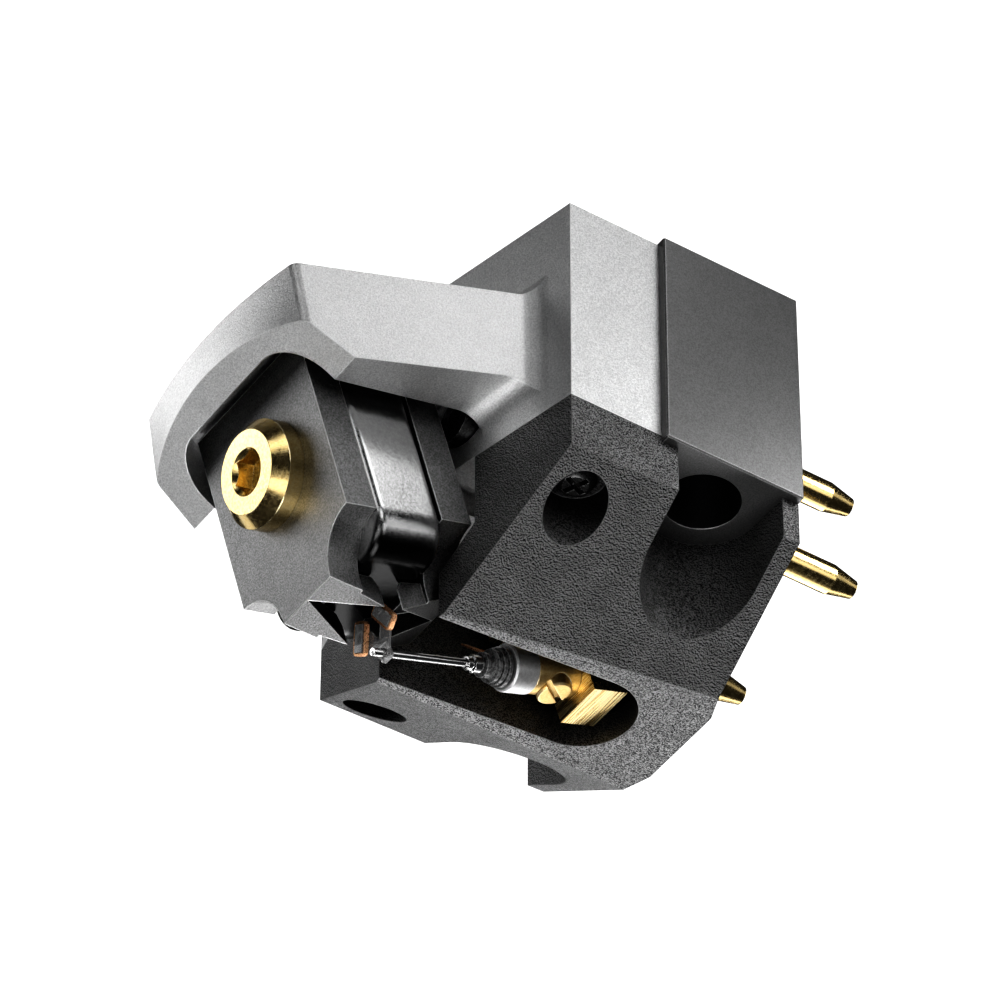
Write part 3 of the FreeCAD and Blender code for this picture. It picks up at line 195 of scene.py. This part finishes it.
def stretched(tree, value, span, lowest=None, interpolation="LINEAR"):
    """Value stretched so that span's first end becomes 0, or lowest, and its last end 1."""
    node = add(tree, "ShaderNodeMapRange", interpolation_type=interpolation)
    node.inputs["From Min"].default_value, node.inputs["From Max"].default_value = span
    tree.links.new(value, node.inputs["Value"])
    if lowest is not None:
        tree.links.new(lowest, node.inputs["To Min"])
    return node.outputs["Result"]


def blended(tree, kind, factor, first, second):
    """Mix of two sockets, as FLOAT or as RGBA."""
    node = add(tree, "ShaderNodeMix", data_type=kind)
    tree.links.new(factor, node.inputs["Factor"])
    tree.links.new(first, node.inputs["A"])
    tree.links.new(second, node.inputs["B"])
    return node.outputs["Result"]


def noise(tree, place, density, **values):
    """Noise over the surface with the given number of grains per metre."""
    node = add(tree, "ShaderNodeTexNoise", **values)
    tree.links.new(place, node.inputs["Vector"])
    tree.links.new(density, node.inputs["Scale"])
    return node.outputs["Fac"]


def grain_effect():
    """Blasted grain or a pebbled coat: its colour, its normal and a mask of its high points.

    The colour runs from Dark to Light with the grain. Mottle gives it soft clouds and Speck
    painted glints as bright points. Edge paints a paler colour along edges, partly wear and partly
    a painted highlight, and Hollow paints shade into hollows. Relief paints each pebble of a coat
    with a lit and a shaded flank, as painted light and shade."""
    pebble_span = (0.3, 0.7)
    tone_span = (0.36, 0.64)
    cloud_span = (0.3, 0.7)
    cloud_share = 0.06
    edge_highlight_bend_span = (0.99, 0.95)
    wear_and_highlight_span = (0.25, 0.45)
    speck_reach_span = (0.28, 0.16)
    speck_rarity = 0.9
    painted_shade_reach = 0.004
    painted_shade_span = (0.15, 0.6)
    flank_step = (0.4, 0.0, 0.4)
    flank_middle = 0.5
    group, start, end = effect("surface_grain", [
        ("Grain Size", "NodeSocketFloat", 0.00012),
        ("Grain Depth", "NodeSocketFloat", 0.00001),
        ("Pebble", "NodeSocketFloat", 0.0),
        ("Mottle", "NodeSocketFloat", 0.15),
        ("Relief", "NodeSocketFloat", 0.0),
        ("Speck", "NodeSocketFloat", 0.0),
        ("Edge Radius", "NodeSocketFloat", 0.00006),
        ("Hollow", "NodeSocketFloat", 0.6),
        ("Dark", "NodeSocketColor", (0.5, 0.5, 0.5, 1.0)),
        ("Light", "NodeSocketColor", (0.7, 0.7, 0.7, 1.0)),
        ("Edge", "NodeSocketColor", (0.9, 0.9, 0.9, 1.0)),
    ], [("Color", "NodeSocketColor"), ("Normal", "NodeSocketVector"), ("Mask", "NodeSocketFloat")])
    link = group.links.new
    place = add(group, "ShaderNodeTexCoord").outputs["Object"]
    density = maths(group, "DIVIDE", 1.0, start.outputs["Grain Size"])
    cloud_density = maths(group, "MULTIPLY", density, cloud_share)
    grains = noise(group, place, density, Detail=3.0, Roughness=0.65)
    pebbles = noise(group, place, density, Detail=2.0, Roughness=0.5, Distortion=0.3)
    clouds = noise(group, place, cloud_density, Detail=2.0, Roughness=0.5)
    rounded = stretched(group, pebbles, pebble_span, interpolation="SMOOTHSTEP")
    height = blended(group, "FLOAT", start.outputs["Pebble"], grains, rounded)

    soft = add(group, "ShaderNodeBevel", samples=4)
    link(start.outputs["Edge Radius"], soft.inputs["Radius"])
    bump = add(group, "ShaderNodeBump", Strength=1.0)
    link(start.outputs["Grain Depth"], bump.inputs["Distance"])
    link(height, bump.inputs["Height"])
    link(soft.outputs["Normal"], bump.inputs["Normal"])

    # Painted highlight and wear: where the rounded shading normal bends away from the face, the colour goes
    # towards the paler Edge colour, broken up by the grain.
    bend = add(group, "ShaderNodeVectorMath", operation="DOT_PRODUCT")
    link(soft.outputs["Normal"], bend.inputs[0])
    link(add(group, "ShaderNodeNewGeometry").outputs["True Normal"], bend.inputs[1])
    edge = stretched(group, bend.outputs["Value"], edge_highlight_bend_span)
    wear_and_edge_highlight = maths(group, "MULTIPLY", edge, stretched(group, grains, wear_and_highlight_span))

    # Painted light and shade: each pebble is coloured lighter on one flank and darker on the other, as if
    # lit from one side.
    step = add(group, "ShaderNodeVectorMath", operation="SCALE")
    step.inputs[0].default_value = flank_step
    link(start.outputs["Grain Size"], step.inputs["Scale"])
    beside = add(group, "ShaderNodeVectorMath", operation="ADD")
    link(place, beside.inputs[0])
    link(step.outputs["Vector"], beside.inputs[1])
    here = noise(group, place, density, Detail=1.0, Roughness=0.5)
    neighbour = noise(group, beside.outputs["Vector"], density, Detail=1.0, Roughness=0.5)
    painted_flank_shade = maths(group, "ADD", maths(group, "SUBTRACT", here, neighbour), flank_middle)
    height_and_painted_flank = blended(group, "FLOAT", start.outputs["Relief"], height, painted_flank_shade)
    mask = stretched(group, height_and_painted_flank, tone_span)
    tone = blended(group, "RGBA", mask, start.outputs["Dark"], start.outputs["Light"])

    dimmest = maths(group, "SUBTRACT", 1.0, start.outputs["Mottle"])
    cloudy = stretched(group, clouds, cloud_span, dimmest)
    # Painted shade: the colour darkens where nearby surfaces hide this one from the light, in hollows, gaps
    # and under other parts.
    occlusion = add(group, "ShaderNodeAmbientOcclusion", samples=6, Distance=painted_shade_reach)
    darkest_painted_shade = maths(group, "SUBTRACT", 1.0, start.outputs["Hollow"])
    painted_shade_factor = stretched(group, occlusion.outputs["AO"], painted_shade_span, darkest_painted_shade)
    shaded = add(group, "ShaderNodeVectorMath", operation="SCALE")
    link(tone, shaded.inputs[0])
    link(maths(group, "MULTIPLY", cloudy, painted_shade_factor), shaded.inputs["Scale"])

    # Painted glints: scattered bright points take the paler Edge colour.
    points = add(group, "ShaderNodeTexVoronoi", feature="F1", Randomness=1.0)
    link(place, points.inputs["Vector"])
    link(density, points.inputs["Scale"])
    near = stretched(group, points.outputs["Distance"], speck_reach_span)
    lot = add(group, "ShaderNodeSeparateColor")
    link(points.outputs["Color"], lot.inputs["Color"])
    chosen = maths(group, "GREATER_THAN", lot.outputs["Red"], speck_rarity)
    speck = maths(group, "MULTIPLY", near, chosen)
    painted_glint = maths(group, "MULTIPLY", speck, start.outputs["Speck"])
    light = maths(group, "MAXIMUM", painted_glint, wear_and_edge_highlight)
    colour = blended(group, "RGBA", light, shaded.outputs["Vector"], start.outputs["Edge"])
    link(colour, end.inputs["Color"])
    link(bump.outputs["Normal"], end.inputs["Normal"])
    link(mask, end.inputs["Mask"])
    return group


surface_grain = grain_effect()


def finish_material(name, metallic, roughness, grain, roughness_spread=0.0, surface=surface_grain):
    """Principled material whose colour, normal and gloss come from a surface effect."""
    made = bpy.data.materials.new(name)
    made.use_nodes = True
    tree = made.node_tree
    shade = tree.nodes["Principled BSDF"]
    shade.inputs["Metallic"].default_value = metallic
    shade.inputs["Roughness"].default_value = roughness
    look = add(tree, "ShaderNodeGroup", node_tree=surface)
    for socket, value in grain.items():
        look.inputs[socket].default_value = value
    tree.links.new(look.outputs["Color"], shade.inputs["Base Color"])
    tree.links.new(look.outputs["Normal"], shade.inputs["Normal"])
    if roughness_spread:
        spread = add(tree, "ShaderNodeMapRange")
        spread.inputs["To Min"].default_value = roughness - roughness_spread
        spread.inputs["To Max"].default_value = roughness + roughness_spread
        tree.links.new(look.outputs["Mask"], spread.inputs["Value"])
        tree.links.new(spread.outputs["Result"], shade.inputs["Roughness"])
    return made


def wear(node, material):
    """Gives a CAD node its finish."""
    item = nodes[node]
    item.data.materials.clear()
    item.data.materials.append(material)


def grey(value):
    """Neutral colour of the given lightness."""
    return (value, value, value, 1.0)


blasted = finish_material("blasted_aluminium", 1.0, 0.43, {
    "Grain Size": 0.00006, "Grain Depth": 0.000016, "Edge Radius": 0.00007,
    "Mottle": 0.05, "Speck": 0.2, "Hollow": 0.1,
    "Dark": grey(0.66), "Light": grey(0.96), "Edge": grey(1.0)}, 0.06)
wear("front_body", blasted)

# Mounting base: the block with the two mounting holes, machined from aluminium and anodised
# a smoother mid grey than the body that is screwed to its front.
satin = finish_material("satin_base", 1.0, 0.36, {
    "Grain Size": 0.00006, "Grain Depth": 0.000003, "Edge Radius": 0.00005,
    "Mottle": 0.05, "Speck": 0.3,
    "Dark": grey(0.20), "Light": grey(0.29), "Edge": grey(0.6)}, 0.04)
wear("mounting_base", satin)

# Lower cover: a keel of cast metal with a black pebbled coat, screwed up under the body and the
# base. Each pebble is painted with a light and a dark flank as painted light and shade, and the edges
# are painted a little paler, partly as wear and partly as a painted highlight.
pebbled = finish_material("pebbled_black", 0.85, 0.38, {
    "Grain Size": 0.00006, "Grain Depth": 0.00004, "Edge Radius": 0.00007,
    "Relief": 1.0, "Hollow": 0.92, "Mottle": 0.2, "Speck": 0.3,
    "Dark": grey(0.005), "Light": grey(0.38), "Edge": grey(0.24)}, 0.06)
wear("lower_cover", pebbled)

# Screws: small machine screws of steel, turned and then blackened with oxide. They hold the
# cover, the front body and the suspension's block to the parts above or behind them.
black_steel = finish_material("black_steel", 0.9, 0.3, {
    "Grain Size": 0.0001, "Grain Depth": 0.000003, "Edge Radius": 0.00004,
    "Dark": grey(0.06), "Light": grey(0.10), "Edge": grey(0.35)}, 0.05)
for held in ("cover", "body", "block"):
    for side in ("right", "left"):
        wear(held + "_screw_" + side, black_steel)

# Yokes: two pole plates of soft iron, milled and blasted finely, with thin bright edges that are partly wear
# and partly a painted highlight.
# They lead the magnet's field to the coils and are clamped on both sides of it by the gold screw.
plate = finish_material("blasted_iron", 1.0, 0.41, {
    "Grain Size": 0.00006, "Grain Depth": 0.000018, "Edge Radius": 0.00006,
    "Mottle": 0.08, "Speck": 0.4, "Hollow": 0.85,
    "Dark": grey(0.14), "Light": grey(0.36), "Edge": grey(1.0)}, 0.05)
for yoke in ("front_yoke", "rear_yoke"):
    wear(yoke, plate)

# Magnet: a nickel plated block between the yokes, polished like a mirror with a faint orange
# peel. Its downward faces are painted near black as shade.
shaded_underside_span = (-0.45, -0.75)
mirror = finish_material("bright_nickel", 1.0, 0.2, {
    "Grain Size": 0.00012, "Grain Depth": 0.000003, "Edge Radius": 0.00015,
    "Mottle": 0.03, "Hollow": 0.95,
    "Dark": grey(0.46), "Light": grey(0.56), "Edge": grey(0.8)}, 0.04)
tree = mirror.node_tree
shade = tree.nodes["Principled BSDF"]
plating = shade.inputs["Base Color"].links[0].from_socket
# Painted shade: faces turned downwards get a near black colour in place of the plating.
facing = add(tree, "ShaderNodeSeparateXYZ")
tree.links.new(add(tree, "ShaderNodeNewGeometry").outputs["Normal"], facing.inputs["Vector"])
painted_underside_shade = add(tree, "ShaderNodeMix", data_type="RGBA")
painted_underside_shade.inputs["B"].default_value = grey(0.03)
tree.links.new(stretched(tree, facing.outputs["Z"], shaded_underside_span), painted_underside_shade.inputs["Factor"])
tree.links.new(plating, painted_underside_shade.inputs["A"])
tree.links.new(painted_underside_shade.outputs["Result"], shade.inputs["Base Color"])
wear("magnet", mirror)

# Gold parts: the yoke screw and the four output pins are turned from brass, polished and gold
# plated. The screw clamps the magnet system to the body, and the pins are pressed into the board.
gold = finish_material("polished_gold", 1.0, 0.2, {
    "Grain Size": 0.00012, "Grain Depth": 0.0000015, "Edge Radius": 0.00005,
    "Mottle": 0.08, "Hollow": 0.0,
    "Dark": (0.70, 0.52, 0.22, 1.0), "Light": (0.82, 0.66, 0.34, 1.0), "Edge": (1.0, 0.88, 0.60, 1.0)}, 0.05)
wear("yoke_screw", gold)
for height in ("upper", "lower"):
    for side in ("right", "left"):
        wear("terminal_pin_" + height + "_" + side, gold)

# Suspension holder: a round brass bar that grips the wire, gold plated with a satin sheen, and
# the slotted screw that sets it in its block.
satin_gold = finish_material("satin_gold", 1.0, 0.40, {
    "Grain Size": 0.00008, "Grain Depth": 0.000006, "Edge Radius": 0.00006,
    "Mottle": 0.05, "Hollow": 0.0,
    "Dark": (0.82, 0.58, 0.24, 1.0), "Light": (0.95, 0.74, 0.38, 1.0), "Edge": (1.0, 0.90, 0.64, 1.0)}, 0.05)
for piece in ("suspension_holder", "holder_set_screw"):
    wear(piece, satin_gold)


# Holder block: milled brass, gold plated over the fine straight lines that the cutter left,
# and screwed under the base with its flange.
def milling_effect():
    """Fine straight tool lines across one axis: tone, normal and mask."""
    line_stretch = (0.03, 1.0, 1.0)
    line_span = (0.35, 0.65)
    group, start, end = effect("tool_lines", [
        ("Line Width", "NodeSocketFloat", 0.00005),
        ("Line Depth", "NodeSocketFloat", 0.000002),
        ("Dark", "NodeSocketColor", (0.5, 0.4, 0.2, 1.0)),
        ("Light", "NodeSocketColor", (0.9, 0.8, 0.5, 1.0)),
    ], [("Color", "NodeSocketColor"), ("Normal", "NodeSocketVector"), ("Mask", "NodeSocketFloat")])
    link = group.links.new
    along = add(group, "ShaderNodeMapping", vector_type="POINT", Scale=line_stretch)
    link(add(group, "ShaderNodeTexCoord").outputs["Object"], along.inputs["Vector"])
    density = maths(group, "DIVIDE", 1.0, start.outputs["Line Width"])
    lines = noise(group, along.outputs["Vector"], density, Detail=2.0, Roughness=0.6)
    mask = stretched(group, lines, line_span)
    bump = add(group, "ShaderNodeBump", Strength=1.0)
    link(start.outputs["Line Depth"], bump.inputs["Distance"])
    link(mask, bump.inputs["Height"])
    tone = blended(group, "RGBA", mask, start.outputs["Dark"], start.outputs["Light"])
    link(tone, end.inputs["Color"])
    link(bump.outputs["Normal"], end.inputs["Normal"])
    link(mask, end.inputs["Mask"])
    return group


tool_lines = milling_effect()
milled_gold = finish_material("milled_gold", 1.0, 0.28, {
    "Line Width": 0.00006, "Line Depth": 0.000004,
    "Dark": (0.62, 0.42, 0.16, 1.0), "Light": (0.98, 0.84, 0.52, 1.0)}, 0.08, tool_lines)
wear("holder_block", milled_gold)

# Moving rod: a fine drawn tube with its turned sleeve, polished bright. The thin spring wire
# from the rod's end through the damper carries it.
silver = finish_material("polished_silver", 1.0, 0.16, {
    "Grain Size": 0.0001, "Grain Depth": 0.000001, "Edge Radius": 0.00003, "Mottle": 0.05,
    "Dark": grey(0.78), "Light": grey(0.92), "Edge": grey(1.0)}, 0.03)
for piece in ("cantilever", "cantilever_sleeve", "suspension_wire"):
    wear(piece, silver)

# Stylus: a ground diamond, clear and hard, cemented into the end of the rod.
# It is the only part that touches the record.
diamond = finish_material("clear_diamond", 0.0, 0.05, {
    "Grain Size": 0.0003, "Grain Depth": 0.0000005, "Edge Radius": 0.00001,
    "Dark": grey(0.75), "Light": grey(0.85), "Edge": grey(1.0)})
wear("stylus", diamond)

# Coils: fine enamelled copper wire, wound in two layers of oblong turns on the two arms of the
# former at the rod's front end. Copper leads run from beside the damper up to the pins.
copper = finish_material("enamelled_copper", 0.9, 0.3, {
    "Grain Size": 0.00008, "Grain Depth": 0.000004, "Edge Radius": 0.00003,
    "Dark": (0.55, 0.22, 0.09, 1.0), "Light": (0.86, 0.42, 0.20, 1.0), "Edge": (1.0, 0.65, 0.4, 1.0)}, 0.05)
for piece in ("coil_right", "coil_left", "lead_wires_right", "lead_wires_left"):
    wear(piece, copper)

rod_tilt = math.radians(19.7)
coil_lean = math.radians(30.0)
coil_half_width = 0.00033
coil_half_length = 0.00062
coil_corner = 0.00016
wire_radius = 0.0000255
wire_pitch = 0.00005
layers = 2
turns_in_layer = 4
for side, sign in (("right", 1), ("left", -1)):
    low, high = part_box("coil_" + side)
    middle = (Vector(low) + Vector(high)) / 2
    turns = []
    for layer in range(layers):
        inset = (0.5 + layer) * wire_pitch
        for number in range(turns_in_layer):
            bpy.ops.mesh.primitive_plane_add(size=1.0)
            loop = bpy.context.active_object
            loop.scale = (2 * (coil_half_width - inset), 2 * (coil_half_length - inset), 1.0)
            loop.location = (0.0, 0.0, (number - (turns_in_layer - 1) / 2) * wire_pitch)
            bpy.ops.object.transform_apply(location=True, rotation=True, scale=True)
            bpy.ops.object.mode_set(mode="EDIT")
            bpy.ops.mesh.select_all(action="SELECT")
            bpy.ops.mesh.delete(type="ONLY_FACE")
            bpy.ops.mesh.select_all(action="SELECT")
            bpy.ops.mesh.bevel(offset=coil_corner - inset, segments=5, affect="VERTICES")
            bpy.ops.object.mode_set(mode="OBJECT")
            bpy.ops.object.convert(target="CURVE")
            loop.data.bevel_depth = wire_radius
            loop.data.bevel_resolution = 2
            bpy.ops.object.convert(target="MESH")
            turns.append(bpy.context.active_object)
            bpy.ops.object.select_all(action="DESELECT")
    for loop in turns:
        loop.select_set(True)
    bpy.context.view_layer.objects.active = turns[0]
    bpy.ops.object.join()
    winding = bpy.context.active_object
    winding.name = "coil_winding_" + side
    tilted = Matrix.Rotation(rod_tilt - math.pi / 2, 4, "X")
    leaning = Matrix.Rotation(-sign * coil_lean, 4, "Z")
    winding.matrix_world = Matrix.Translation(middle) @ tilted @ leaning
    bpy.ops.object.transform_apply(location=True, rotation=True, scale=True)
    bpy.ops.object.mode_set(mode="EDIT")
    bpy.ops.mesh.select_all(action="SELECT")
    bpy.ops.mesh.normals_make_consistent(inside=False)
    bpy.ops.object.mode_set(mode="OBJECT")
    bpy.ops.object.shade_smooth()
    winding.data.materials.append(copper)
    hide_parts("coil_" + side)
    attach(winding, "moving_system")
    winding.select_set(False)

# Coil former: a small cross moulded from clear resin, pushed onto the rod.
# It holds the two coils at their angle to the record's groove.
moulded = finish_material("clear_former", 0.0, 0.12, {
    "Grain Size": 0.0003, "Grain Depth": 0.000001, "Edge Radius": 0.00003,
    "Dark": grey(0.62), "Light": grey(0.76), "Edge": grey(0.95)})
clear = moulded.node_tree.nodes["Principled BSDF"]
clear.inputs["Transmission Weight"].default_value = 0.75
clear.inputs["IOR"].default_value = 1.46
wear("coil_former", moulded)

# Damper: a ring of soft black rubber with ribs, moulded glossy. It lies round the wire between
# the sleeve and the collar and keeps the rod from ringing.
rubber = finish_material("black_rubber", 0.0, 0.28, {
    "Grain Size": 0.00012, "Grain Depth": 0.000008, "Pebble": 0.5, "Edge Radius": 0.00004,
    "Dark": grey(0.09), "Light": grey(0.2), "Edge": grey(0.4)}, 0.08)
rubber.node_tree.nodes["Principled BSDF"].inputs["Coat Weight"].default_value = 1.0
wear("damper", rubber)

# Collar: a pale washer behind the damper, turned from aluminium to a satin finish.
# It sits on the end of the suspension holder.
washer = finish_material("satin_washer", 0.9, 0.48, {
    "Grain Size": 0.0001, "Grain Depth": 0.000004, "Edge Radius": 0.00005,
    "Dark": grey(0.76), "Light": grey(0.92), "Edge": grey(1.0)}, 0.05)
wear("damper_collar", washer)

# Terminal board: a black moulded plate, glued into the base's rear pocket.
# It holds the pins and keeps them apart.
board = finish_material("black_board", 0.0, 0.5, {
    "Grain Size": 0.0002, "Grain Depth": 0.000005, "Edge Radius": 0.00005,
    "Dark": grey(0.02), "Light": grey(0.035), "Edge": grey(0.06)}, 0.05)
wear("terminal_board", board)
